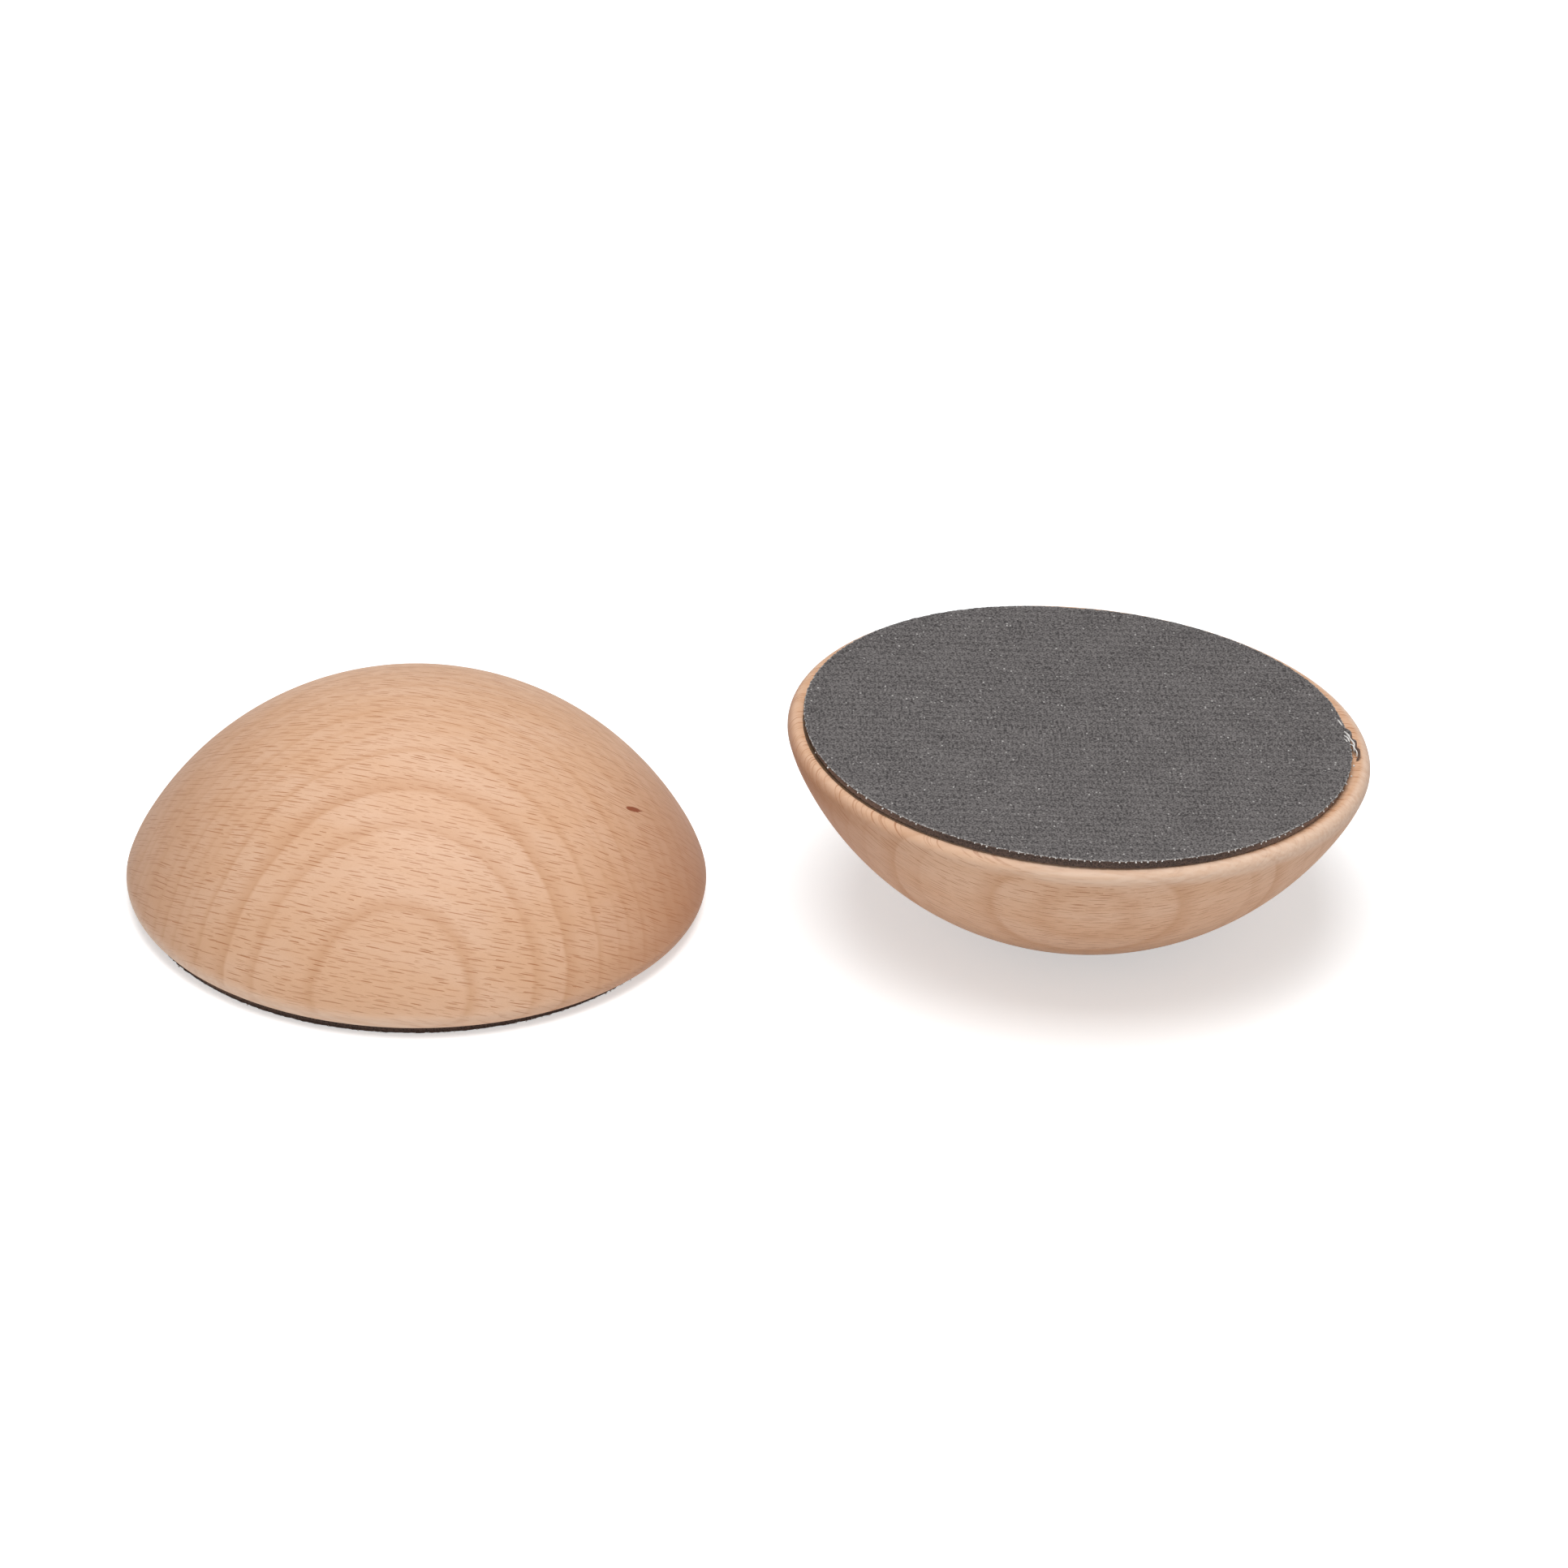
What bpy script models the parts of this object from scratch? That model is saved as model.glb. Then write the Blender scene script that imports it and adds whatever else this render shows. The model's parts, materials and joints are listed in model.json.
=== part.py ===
"""A pair of balance stepping stones: turned beech domes with a grip pad glued to the flat side.

One stone stands on its pad, dome up. The other is turned over and leans on its dome, pad up.
Lengths are in metres and +Z is up. The origin is on the upright dome's axis, at its foot.
"""
import math

import bpy
from mathutils import Euler, Matrix, Vector

MM = 0.001

# The turned dome
STONE_DIAMETER = 150.0 * MM
DOME_HEIGHT = 53.2 * MM
EDGE_ROUND = 3.0 * MM            # radius where the side turns into the flat base
SIDE_LEAN = math.radians(17.7)   # how far the side leans in, just above the edge round
SHOULDER_RADIUS = 36.0 * MM      # arc between the side and the crown

# The pad glued to the flat base, from the wood outwards
BARE_RIM = 1.2 * MM              # flat wood left showing round a centred pad
ADHESIVE_THICKNESS = 0.15 * MM
ADHESIVE_INSET = 0.6 * MM        # how far the adhesive stops short of the pad's edge
FOAM_THICKNESS = 1.6 * MM
FOAM_INSET = 0.2 * MM            # how far the die presses the foam back under the facing
FACING_THICKNESS = 0.6 * MM
FACING_EDGE_ROUND = 0.2 * MM
SEAT_GAP = 0.02 * MM             # clearance between two layers that lie face to face

# How far off the dome's axis each pad was glued, in its stone's own frame
PAD_SHIFT = {
    "upright": Vector((-0.7, -0.6)) * MM,
    "inverted": Vector((-1.1, 3.2)) * MM,
}

# How the two stones lie
STONE_GAP = 22.0 * MM            # between the stones, measured on the floor
STONE_SET_FORWARD = 3.4 * MM     # how far the inverted stone's contact point lies in front
LEAN = math.radians(4.2)         # tilt of the inverted stone's pad from level
LEAN_HEADING = math.radians(36)  # the way its pad faces, turned from +X towards +Y

# Smoothness of the turned surfaces
TURNING_STEPS = 80
CROWN_STEPS = 13
SHOULDER_STEPS = 4
ROUND_STEPS = 4
SHARP_ANGLE = math.radians(30)

# Sizes that follow from the ones above
STONE_RADIUS = STONE_DIAMETER / 2
PAD_RADIUS = STONE_RADIUS - EDGE_ROUND - BARE_RIM
FOAM_BOTTOM = FACING_THICKNESS + SEAT_GAP
ADHESIVE_BOTTOM = FOAM_BOTTOM + FOAM_THICKNESS + SEAT_GAP
DOME_BOTTOM = ADHESIVE_BOTTOM + ADHESIVE_THICKNESS + SEAT_GAP
STONE_HEIGHT = DOME_BOTTOM + DOME_HEIGHT

# The shoulder's centre lies on the line through the top of the edge round, and the crown's
# on the stone's axis, at the height that makes the two arcs run smoothly into each other.
SHOULDER_CENTRE = Vector((
    STONE_RADIUS - EDGE_ROUND - (SHOULDER_RADIUS - EDGE_ROUND) * math.cos(SIDE_LEAN),
    EDGE_ROUND - (SHOULDER_RADIUS - EDGE_ROUND) * math.sin(SIDE_LEAN),
))
SHOULDER_DROP = DOME_HEIGHT - SHOULDER_CENTRE.y
CROWN_RADIUS = (
    (SHOULDER_CENTRE.x ** 2 + SHOULDER_DROP ** 2 - SHOULDER_RADIUS ** 2)
    / (2 * (SHOULDER_DROP - SHOULDER_RADIUS))
)
CROWN_CENTRE = Vector((0, DOME_HEIGHT - CROWN_RADIUS))
CROWN_EDGE_ANGLE = math.atan2(
    SHOULDER_CENTRE.y - CROWN_CENTRE.y, SHOULDER_CENTRE.x - CROWN_CENTRE.x
)
CROWN_CENTRE_HEIGHT = STONE_HEIGHT - CROWN_RADIUS


def clear_scene():
    """Start from an empty file."""
    for item in list(bpy.data.objects):
        bpy.data.objects.remove(item, do_unlink=True)


def make_collection(name):
    """A collection for the finished pieces."""
    collection = bpy.data.collections.new(name)
    bpy.context.scene.collection.children.link(collection)
    return collection


def make_material(name, colour, roughness):
    """A Principled material; none of these finishes is metallic."""
    material = bpy.data.materials.new(name)
    material.use_nodes = True
    material.diffuse_color = (*colour, 1)
    shader = material.node_tree.nodes["Principled BSDF"]
    shader.inputs["Base Color"].default_value = (*colour, 1)
    shader.inputs["Roughness"].default_value = roughness
    shader.inputs["Metallic"].default_value = 0
    return material


def arc(centre, radius, start, end, steps):
    """Points (r, z) along an arc, from the start angle down to the end angle."""
    turn = (end - start) / steps
    return [
        (centre.x + radius * math.cos(start + turn * i), centre.y + radius * math.sin(start + turn * i))
        for i in range(steps + 1)
    ]


def dome_profile():
    """Half the dome's section: crown, shoulder, edge round and flat base."""
    edge_centre = Vector((STONE_RADIUS - EDGE_ROUND, EDGE_ROUND))
    crown = arc(CROWN_CENTRE, CROWN_RADIUS, math.pi / 2, CROWN_EDGE_ANGLE, CROWN_STEPS)
    crown[0] = (0, DOME_HEIGHT)
    shoulder = arc(SHOULDER_CENTRE, SHOULDER_RADIUS, CROWN_EDGE_ANGLE, SIDE_LEAN, SHOULDER_STEPS)
    side = arc(edge_centre, EDGE_ROUND, SIDE_LEAN, 0, 1)
    edge = arc(edge_centre, EDGE_ROUND, 0, -math.pi / 2, ROUND_STEPS)
    return crown + shoulder[1:] + side[1:] + edge[1:] + [(0, 0)]


def disc_profile(radius, thickness, edge_round=0):
    """Half the section of a flat layer, with its lower outer edge rounded if asked."""
    if edge_round:
        corner = Vector((radius - edge_round, edge_round))
        edge = arc(corner, edge_round, 0, -math.pi / 2, ROUND_STEPS)
    else:
        edge = [(radius, 0)]
    return [(0, thickness), (radius, thickness)] + edge + [(0, 0)]


def turned_piece(name, profile, material, collection, stone, middle, height):
    """Turn a profile round Z and hang it on its stone, this far off its axis and above its foot."""
    outline = bpy.data.meshes.new(name + "_outline")
    edges = [(i, i + 1) for i in range(len(profile) - 1)]
    outline.from_pydata([(r, 0, z) for r, z in profile], edges, [])
    piece = bpy.data.objects.new(name, outline)
    collection.objects.link(piece)

    turning = piece.modifiers.new("turning", 'SCREW')
    turning.axis = 'Z'
    turning.angle = math.tau
    turning.steps = TURNING_STEPS
    turning.render_steps = TURNING_STEPS
    turning.use_merge_vertices = True
    turning.merge_threshold = 0.001 * MM

    seen = piece.evaluated_get(bpy.context.evaluated_depsgraph_get())
    solid = bpy.data.meshes.new_from_object(seen)
    piece.modifiers.clear()
    piece.data = solid
    bpy.data.meshes.remove(outline)
    solid.name = name
    solid.shade_smooth()
    solid.set_sharp_from_angle(angle=SHARP_ANGLE)
    solid.materials.append(material)

    piece.parent = stone
    piece.location = (middle.x, middle.y, height - CROWN_CENTRE_HEIGHT)
    return piece


def make_stone(prefix, crown_centre, rotation, materials, collection):
    """One stone. Its empty sits at the crown's centre, the point that a rocking stone turns on."""
    stone = bpy.data.objects.new(prefix + "_stone", None)
    stone.empty_display_size = STONE_RADIUS / 4
    stone.location = crown_centre
    stone.rotation_euler = rotation
    collection.objects.link(stone)

    on_axis, off_axis = Vector((0, 0)), PAD_SHIFT[prefix]
    layers = (
        ("beech_dome", dome_profile(), "beech", on_axis, DOME_BOTTOM),
        ("adhesive_film", disc_profile(PAD_RADIUS - ADHESIVE_INSET, ADHESIVE_THICKNESS), "adhesive",
         off_axis, ADHESIVE_BOTTOM),
        ("foam_layer", disc_profile(PAD_RADIUS - FOAM_INSET, FOAM_THICKNESS), "foam", off_axis,
         FOAM_BOTTOM),
        ("grip_facing", disc_profile(PAD_RADIUS, FACING_THICKNESS, FACING_EDGE_ROUND), "facing",
         off_axis, 0),
    )
    for piece_name, profile, material, middle, height in layers:
        name = prefix + "_" + piece_name
        turned_piece(name, profile, materials[material], collection, stone, middle, height)


def inverted_rotation():
    """Turn a stone over about X, then lean its pad towards the heading."""
    lean_axis = Vector((-math.sin(LEAN_HEADING), math.cos(LEAN_HEADING), 0))
    lean = Matrix.Rotation(LEAN, 3, lean_axis)
    return (lean @ Matrix.Rotation(math.pi, 3, 'X')).to_euler()


def build():
    clear_scene()
    collection = make_collection("balance_stepping_stones")
    materials = {
        "beech": make_material("beech", (0.68, 0.44, 0.28), 0.45),
        "adhesive": make_material("adhesive", (0.70, 0.66, 0.55), 0.50),
        "foam": make_material("foam", (0.055, 0.040, 0.033), 0.90),
        "facing": make_material("facing", (0.145, 0.135, 0.130), 0.70),
    }
    upright_crown = (0, 0, CROWN_CENTRE_HEIGHT)
    inverted_crown = (STONE_DIAMETER + STONE_GAP, -STONE_SET_FORWARD, CROWN_RADIUS)
    make_stone("upright", upright_crown, Euler((0, 0, 0)), materials, collection)
    make_stone("inverted", inverted_crown, inverted_rotation(), materials, collection)


build()
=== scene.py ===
"""Two balance stepping stones, dressed round the CAD frame.

Each stone is a turned beech dome with a grip pad glued to its flat side. One stands on its
pad, and the other lies on its crown with the pad up, leaning towards the viewer. Lengths are
in metres unless a name says mm, and +Z is up.
"""
import json
import math

import bmesh
import bpy
from mathutils import Matrix, Vector


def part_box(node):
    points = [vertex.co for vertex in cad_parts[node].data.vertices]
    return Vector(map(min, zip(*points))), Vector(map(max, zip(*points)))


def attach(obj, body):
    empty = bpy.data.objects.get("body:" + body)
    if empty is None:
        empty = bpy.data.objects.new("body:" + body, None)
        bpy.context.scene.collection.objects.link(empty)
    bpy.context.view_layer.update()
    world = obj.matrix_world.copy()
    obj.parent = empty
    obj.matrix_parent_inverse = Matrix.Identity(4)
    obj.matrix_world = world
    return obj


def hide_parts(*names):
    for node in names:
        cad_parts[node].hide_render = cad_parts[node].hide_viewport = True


bl_info = {
    "name": "Balance Stepping Stones",
    "version": (1, 0, 0),
    "blender": (4, 5, 0),
    "location": "3D View > Sidebar > Stepping Stones",
    "description": "Turned beech domes on grip pads, with grain, woven facing and foam",
    "category": "Add Mesh",
}

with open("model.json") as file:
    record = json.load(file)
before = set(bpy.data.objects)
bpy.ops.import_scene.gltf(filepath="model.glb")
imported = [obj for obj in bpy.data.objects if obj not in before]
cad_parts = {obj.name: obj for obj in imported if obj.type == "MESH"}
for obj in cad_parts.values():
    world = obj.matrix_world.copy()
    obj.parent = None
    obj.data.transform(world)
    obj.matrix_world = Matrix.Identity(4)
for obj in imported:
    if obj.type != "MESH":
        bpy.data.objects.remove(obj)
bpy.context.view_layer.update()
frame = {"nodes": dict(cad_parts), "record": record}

MM = 0.001
MILLIMETRES = Matrix.Scale(1 / MM, 4)   # takes metres to millimetres
STONES = ("upright", "inverted")


def node_size(node):
    """A CAD node's width and height, and the height of its foot."""
    low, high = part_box(node)
    return high.x - low.x, high.z - low.z, low.z


DOME_WIDTH, DOME_HEIGHT, DOME_FOOT = node_size("upright_beech_dome")
FOAM_WIDTH, FOAM_HEIGHT, FOAM_FOOT = node_size("upright_foam_layer")
FACING_WIDTH, FACING_HEIGHT, _ = node_size("upright_grip_facing")


def stone_poses():
    """Each stone's own frame, from the middle of its pad's face, with +Z to the crown.

    The viewer is at -Y of the upright stone and at +Y of the inverted one.
    """
    mounts = {mount["name"]: mount for mount in frame["record"]["mounts"]}
    face = mounts["inverted_grip_face"]
    lean = Vector((0, 0, 1)).rotation_difference(Vector(face["axis"]))
    turned_over = lean.to_matrix().to_4x4() @ Matrix.Rotation(math.pi, 4, "X")
    return {
        "upright": Matrix.Identity(4),
        "inverted": Matrix.Translation(face["pos_m"]) @ turned_over,
    }


POSES = stone_poses()


def pad_poses():
    """Each pad's frame: its stone's own, moved to the middle of the pad's face."""
    placed = {}
    for stone in STONES:
        into = POSES[stone].inverted()
        facing = frame["nodes"][f"{stone}_grip_facing"].data
        corners = [into @ point.co for point in facing.vertices]
        middle = [
            (min(c[axis] for c in corners) + max(c[axis] for c in corners)) / 2
            for axis in (0, 1)
        ]
        placed[stone] = POSES[stone] @ Matrix.Translation((*middle, 0))
    return placed


PADS = pad_poses()


# How each dome was cut from the log, in its own frame and in millimetres: where the growth
# rings close into a bull's-eye, the way the grain and the heart of the tree lie from there,
# the rings met on the way in, as (depth, width of the dark wood, its strength), and the
# painted
# shade between the stones: how strongly the end grain darkens its left and right end.
LOGS = {
    "upright": {
        "bulls_eye": (6.6, -64.8, 28.3),
        "front": -1,
        "grain_turn": math.radians(-7.2),
        "grain_rise": math.radians(-7.6),
        "heart_rise": math.radians(31.2),
        "heart_distance": 200.0,
        "rings": (
            (2.9, 1.3, 0.95), (8.7, 2.1, 0.75), (13.2, 3.2, 1.0), (19.0, 1.6, 0.75),
            (23.3, 1.5, 0.35), (25.7, 1.6, 0.45), (29.5, 2.0, 0.65), (33.3, 1.9, 0.4),
            (38.2, 3.2, 0.45), (42.2, 3.6, 0.5),
        ),
        "year": 5.0,
        "fleck_strength": 0.9,
        "side_shade_strengths": (0.5, 0.95),
        "seed": 3.0,
    },
    "inverted": {
        "bulls_eye": (0.4, 66.4, 21.7),
        "front": 1,
        "grain_turn": math.radians(-0.7),
        "grain_rise": math.radians(-1.3),
        "heart_rise": math.radians(34.0),
        "heart_distance": 500.0,
        "rings": (
            (0.2, 1.2, 0.6), (3.0, 2.3, 1.0), (11.3, 2.4, 0.45), (15.4, 3.6, 1.0),
            (21.8, 1.7, 0.4), (26.2, 2.0, 0.5), (31.0, 2.4, 0.6), (37.5, 3.0, 0.5),
        ),
        "year": 5.6,
        "fleck_strength": 0.95,
        "side_shade_strengths": (0.95, 0.3),
        "seed": 11.0,
    },
}
RING_RISE_MM = 0.45        # how quickly the wood darkens at a ring's sharp side
RING_SPAN_MM = 50.0        # the depth that the named rings cover
BLEMISH_MM = (56.1, -11.5, 32.3)   # a bark fleck in the upright dome

# Noise over the wood: its scale per mm along the grain and across it, and its detail
WOOD_NOISE = {
    "drift": (0.012, 0.035, 2.0),
    "ripple": (0.05, 0.16, 1.0),
    "fibres": (0.3, 5.5, 3.0),
    "pores": (0.9, 11.0, 2.0),
    "patches": (0.03, 0.09, 3.0),
    "streaks": (0.06, 1.1, 3.0),
}

# Long rays and short ones, in mm: the room that each has along the grain, round the heart
# and inwards, and its own length and width
LONG_RAYS = (6.6, 1.6, 26.0), (3.0, 0.16)
SHORT_RAYS = (4.6, 1.3, 20.0), (1.9, 0.12)

# The lattice of the woven facing, in its own plane
COLUMN_MM = (1.757, -0.176)
ROW_MM = (0.527, 3.28)
FACING_TURN = {"upright": math.radians(74), "inverted": 0.0}

# The weave's painted light and shade, lighter on its bumps and darker in its hollows,
# as waves: their turns to a column and to a row, the angle that they start at, and their
# strength
WEAVE_WAVES = (
    (1, 0, 0, 0.11), (0, 1, 0, 0.15), (0.5, -0.5, -1.43, 0.055),
    (0.5, 0.5, 0, 0.035), (1, 1, 1.88, 0.04),
)


def laid(shift_x, shift_y, scale_x=1.0, scale_y=1.0):
    """How a layer lies in its pad's frame: moved by so many mm, and pulled or pushed."""
    return Matrix.Translation((shift_x * MM, shift_y * MM, 0)) @ Matrix.Diagonal(
        (scale_x, scale_y, 1, 1)
    )


# Both layers of each pad were laid slightly off, and the die squeezed the inverted stone's
# foam back at both sides
FACING_LAID = {"upright": laid(0.0, -0.4), "inverted": laid(0.45, -0.2, 0.998, 1.003)}
FOAM_LAID = {"upright": laid(0.0, -0.4), "inverted": laid(0.5, -0.1, 0.989, 1.001)}

# The facing's outline: how deep it is worn where the sliver came loose, the way to that
# place and its spread, and how far the facing was drawn out to both sides behind
BITE = {"upright": 0.0, "inverted": 0.6 * MM}
BITE_HEADING = math.radians(-10)
BITE_SPREAD = math.radians(9)
BACK_CORNERS = {"upright": 0.0, "inverted": 1.0 * MM}
OUTLINE_REACH = 14 * MM    # how far in from the edge these pull the weave along
RIM_WIDTH = 0.6 * MM       # the rim that the die pressed in
RIM_PRESS = 0.35           # how deep, as a share of the facing's thickness
CELL_DEPTH = 0.55          # of the foam's open cells, as a share of their width

# The thread ends in the facing's cut side, and by how much they differ
THREAD_INSET = 0.05 * MM
THREAD_LEVEL = 0.62        # their height, as a share of the facing's thickness
THREAD_SPACING = 1.02      # in columns of the weave
THREAD_SHARE = 0.85        # of the columns that show an end
THREAD_WOBBLE = Vector((0.45, 0.1, 0.05)) * MM
THREAD_LEAN = Vector((0.35, 0.35, 0.35))
THREAD_SCALES = (0.45, 0.45, 0.6), (1.25, 1.25, 1.4)

# What has come loose at the worn place, in the inverted pad's frame: for each bit, its
# points as (x, y, z, radius) in mm
SLIVER_MM = (
    ((69.6, -12.6, 0.4, 0.3), (70.5, -10.2, 0.2, 0.56), (71.0, -8.2, 0.9, 0.34),
     (71.8, -6.0, 0.6, 0.5), (72.1, -4.2, 1.2, 0.26), (72.7, -2.2, 1.0, 0.38),
     (72.8, -0.2, 1.6, 0.2), (72.4, 0.9, 1.9, 0.26), (72.0, 1.5, 2.0, 0.05)),
    ((69.2, -9.8, 0.6, 0.22), (70.2, -7.6, 0.5, 0.36), (70.7, -5.8, 1.1, 0.2),
     (71.6, -3.6, 0.9, 0.3), (71.9, -1.8, 1.5, 0.12)),
    ((68.6, -13.2, 0.3, 0.26), (69.9, -11.2, 0.1, 0.4), (70.4, -9.0, 0.6, 0.22)),
)
LOOSE_THREADS_MM = (
    ((69.2, -10.4, 0.0, 0.16), (70.3, -8.6, 0.2, 0.28), (70.5, -6.8, 0.0, 0.16),
     (71.5, -4.8, 0.4, 0.26), (71.6, -2.8, 0.6, 0.14), (72.2, -1.0, 1.0, 0.2),
     (72.2, 0.4, 1.5, 0.06)),
    ((69.0, -8.6, 0.2, 0.14), (70.0, -6.6, 0.0, 0.24), (70.6, -4.6, 0.5, 0.12),
     (71.3, -3.0, 0.3, 0.2), (71.5, -1.4, 1.0, 0.07)),
    ((68.6, -7.0, 0.3, 0.1), (69.6, -5.4, 0.1, 0.18), (69.9, -3.8, 0.6, 0.08)),
    ((67.4, -18.0, 0.3, 0.12), (68.3, -15.4, 0.1, 0.2), (69.0, -13.2, 0.3, 0.1)),
    ((65.8, -23.6, 0.3, 0.1), (66.5, -22.2, 0.2, 0.16), (66.9, -20.6, 0.4, 0.08)),
)

# Points round each dome or foam disc, rows of them from the foot up, and points along each
# side of the facing's grid
DOME_STEPS, DOME_ROWS = 257, 101
FOAM_STEPS, FOAM_ROWS = 1101, 15
FACING_STEPS = 291
WELD = 0.002 * MM          # points closer than this become one

# The inputs of the pieces' node trees that aren't plain numbers
INPUT_KINDS = {
    "Grain": "Vector", "Steps": "Int", "Seed": "Int", "Material": "Material",
}

# The stage
CAMERA_PLACE = (0.09466, -2.53872, 1.49094)
SENSOR_MM = 36
LAMP_TARGET = (0.085, 0.0, 0.03)
TOP_LAMP = (0.07, -0.28, 1.9), 1.3, 1.5   # its place, width and height
FRONT_LAMP = (0.1, -2.4, 0.7), 1.4, 0.8
FILL_COLOUR = (0.92, 1.0, 1.06, 1)
FLOOR_REACH = 6.0
FLOOR_GLOW = 0.5           # what lifts the lit floor to white for the camera


def srgb(red, green, blue):
    """A display colour, 0 to 255, as the linear one that Blender's colour properties hold."""
    def linear(value):
        value /= 255
        return value / 12.92 if value <= 0.04045 else ((value + 0.055) / 1.055) ** 2.4
    return tuple(linear(value) for value in (red, green, blue))


def a_colour(name, description, *display):
    """A colour that a user may change."""
    return bpy.props.FloatVectorProperty(
        name=name, description=description, subtype="COLOR", min=0, max=1,
        default=srgb(*display),
    )


def a_number(name, description, default, **kind):
    """A number that a user may change."""
    return bpy.props.FloatProperty(
        name=name, description=description, default=default, **kind
    )


def a_length(name, description, default):
    return a_number(name, description, default, min=0, unit="LENGTH", precision=5)


def an_angle(name, description, degrees):
    return a_number(name, description, math.radians(degrees), subtype="ANGLE")


class StoneSizes(bpy.types.PropertyGroup):
    """Sizes of the dome and the pad"""

    diameter: a_length("Diameter", "Widest point of the dome", DOME_WIDTH)
    height: a_length("Dome Height", "Height of the wood", DOME_HEIGHT)
    edge_round: a_length(
        "Edge Round", "Radius where the side turns into the flat base", 3.0 * MM
    )
    side_lean: an_angle("Side Lean", "How far the side leans in above the edge round", 17.7)
    shoulder: a_length(
        "Shoulder Radius", "Radius of the arc between the side and the crown", 36 * MM
    )
    relief: a_length("Weave Relief", "Depth of the facing's weave", 0.16 * MM)
    cell: a_length("Foam Cell", "Width of one cell of the foam", 0.55 * MM)
    thread: a_length("Thread Thickness", "Thickness of a thread end", 0.46 * MM)


class StoneColours(bpy.types.PropertyGroup):
    """Colours of the wood and the pad"""

    wood: a_colour("Wood", "Steamed beech between the rings", 231, 188, 156)
    wood_warm: a_colour("Warm Wood", "Beech in its warmer patches", 226, 179, 143)
    # Painted sheen: a pale highlight on the edge round
    edge_sheen: a_colour("Sanded Edge", "Wood of the edge round", 250, 222, 200)
    ring: a_colour("Ring", "Dark wood at the end of a year", 211, 160, 122)
    # Darker end grain, the wood's own, also used as painted shade on the dome's flanks
    end_grain_and_flank_shade: a_colour("End Grain", "Where the fibres are cut across", 188, 136, 102)
    fleck: a_colour("Fleck", "Rays cut across", 174, 110, 66)
    blemish: a_colour("Blemish", "Bark fleck in the upright dome", 148, 74, 40)
    facing: a_colour("Facing", "Coated side of the grip fabric", 126, 120, 118)
    # Painted shade in the hollows between the facing's bumps
    facing_hollow_shade: a_colour("Facing Hollows", "Between the facing's bumps", 63, 58, 57)
    speck: a_colour("Speck", "Bare fibre showing through the coating", 205, 200, 196)
    foam: a_colour("Foam", "Cut side of the foam", 96, 75, 65)
    # Painted shade inside the foam's open cells
    foam_cell_shade: a_colour("Foam Cells", "Inside the foam's open cells", 54, 41, 35)
    # Painted light on the left and right sides of the foam's cut side
    foam_side_light: a_colour("Dust", "Sanding dust on the foam's cut side", 180, 142, 122)
    adhesive: a_colour("Adhesive", "Dried contact adhesive", 118, 92, 62)
    thread: a_colour("Thread", "Ends of the fabric's threads", 228, 223, 218)


class StudioSettings(bpy.types.PropertyGroup):
    """Camera and light"""

    lens: a_number("Lens", "Focal length on a 36 mm sensor", 260.87, min=1, unit="CAMERA")
    pitch: an_angle("Pitch", "How far the camera looks down", 29.85)
    roll: an_angle("Roll", "How far the camera leans to one side", 1.11)
    key: a_number("Key Light", "Power of the large lamp above", 33.5, unit="POWER")
    front: a_number("Front Light", "Power of the lamp beside the camera", 4.5, unit="POWER")
    fill: a_number("Fill Light", "Strength of the light from all round", 0.25)


def through(operation):
    """A method that puts a number, and any others given, through one Math node."""
    return lambda self, *others: self.math(operation, self, *others)


class Number:
    """One output of a node, with arithmetic: every operator adds a Math node."""

    def __init__(self, tree, node, output):
        self.tree, self.node, self.output = tree, node, output

    def math(self, operation, *values):
        return self.tree.add("ShaderNodeMath", {"operation": operation}, values)

    def __add__(self, other):
        return self.math("ADD", self, other)

    def __sub__(self, other):
        return self.math("SUBTRACT", self, other)

    def __rsub__(self, other):
        return self.math("SUBTRACT", other, self)

    def __mul__(self, other):
        return self.math("MULTIPLY", self, other)

    def __truediv__(self, other):
        return self.math("DIVIDE", self, other)

    def __rtruediv__(self, other):
        return self.math("DIVIDE", other, self)

    def __neg__(self):
        return self.math("MULTIPLY", self, -1)

    __radd__, __rmul__ = __add__, __mul__
    __pow__, __abs__ = through("POWER"), through("ABSOLUTE")
    at_most, at_least = through("MINIMUM"), through("MAXIMUM")
    over = through("GREATER_THAN")   # 1 where it is, and 0 where it isn't
    cosine, sine, arccosine = through("COSINE"), through("SINE"), through("ARCCOSINE")
    heading = through("ARCTAN2")     # of the place (x, this), where x is given
    root, whole, part = through("SQRT"), through("FLOOR"), through("FRACT")

    def ramp(self, start, end, low=0.0, high=1.0, kind="LINEAR"):
        """This, mapped from start-end to low-high and held there beyond both ends."""
        return self.tree.add(
            "ShaderNodeMapRange", {"interpolation_type": kind},
            (self, start, end, low, high),
        )

    def smooth(self, start, end, low=0.0, high=1.0):
        return self.ramp(start, end, low, high, "SMOOTHSTEP")

    def also(self, name):
        """Another output of the same node."""
        return Number(self.tree, self.node, self.node.outputs[name])

    def parts(self):
        """The three numbers of a vector or colour."""
        first = self.tree.add("ShaderNodeSeparateXYZ", {}, (self,))
        return first, first.also("Y"), first.also("Z")


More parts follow.
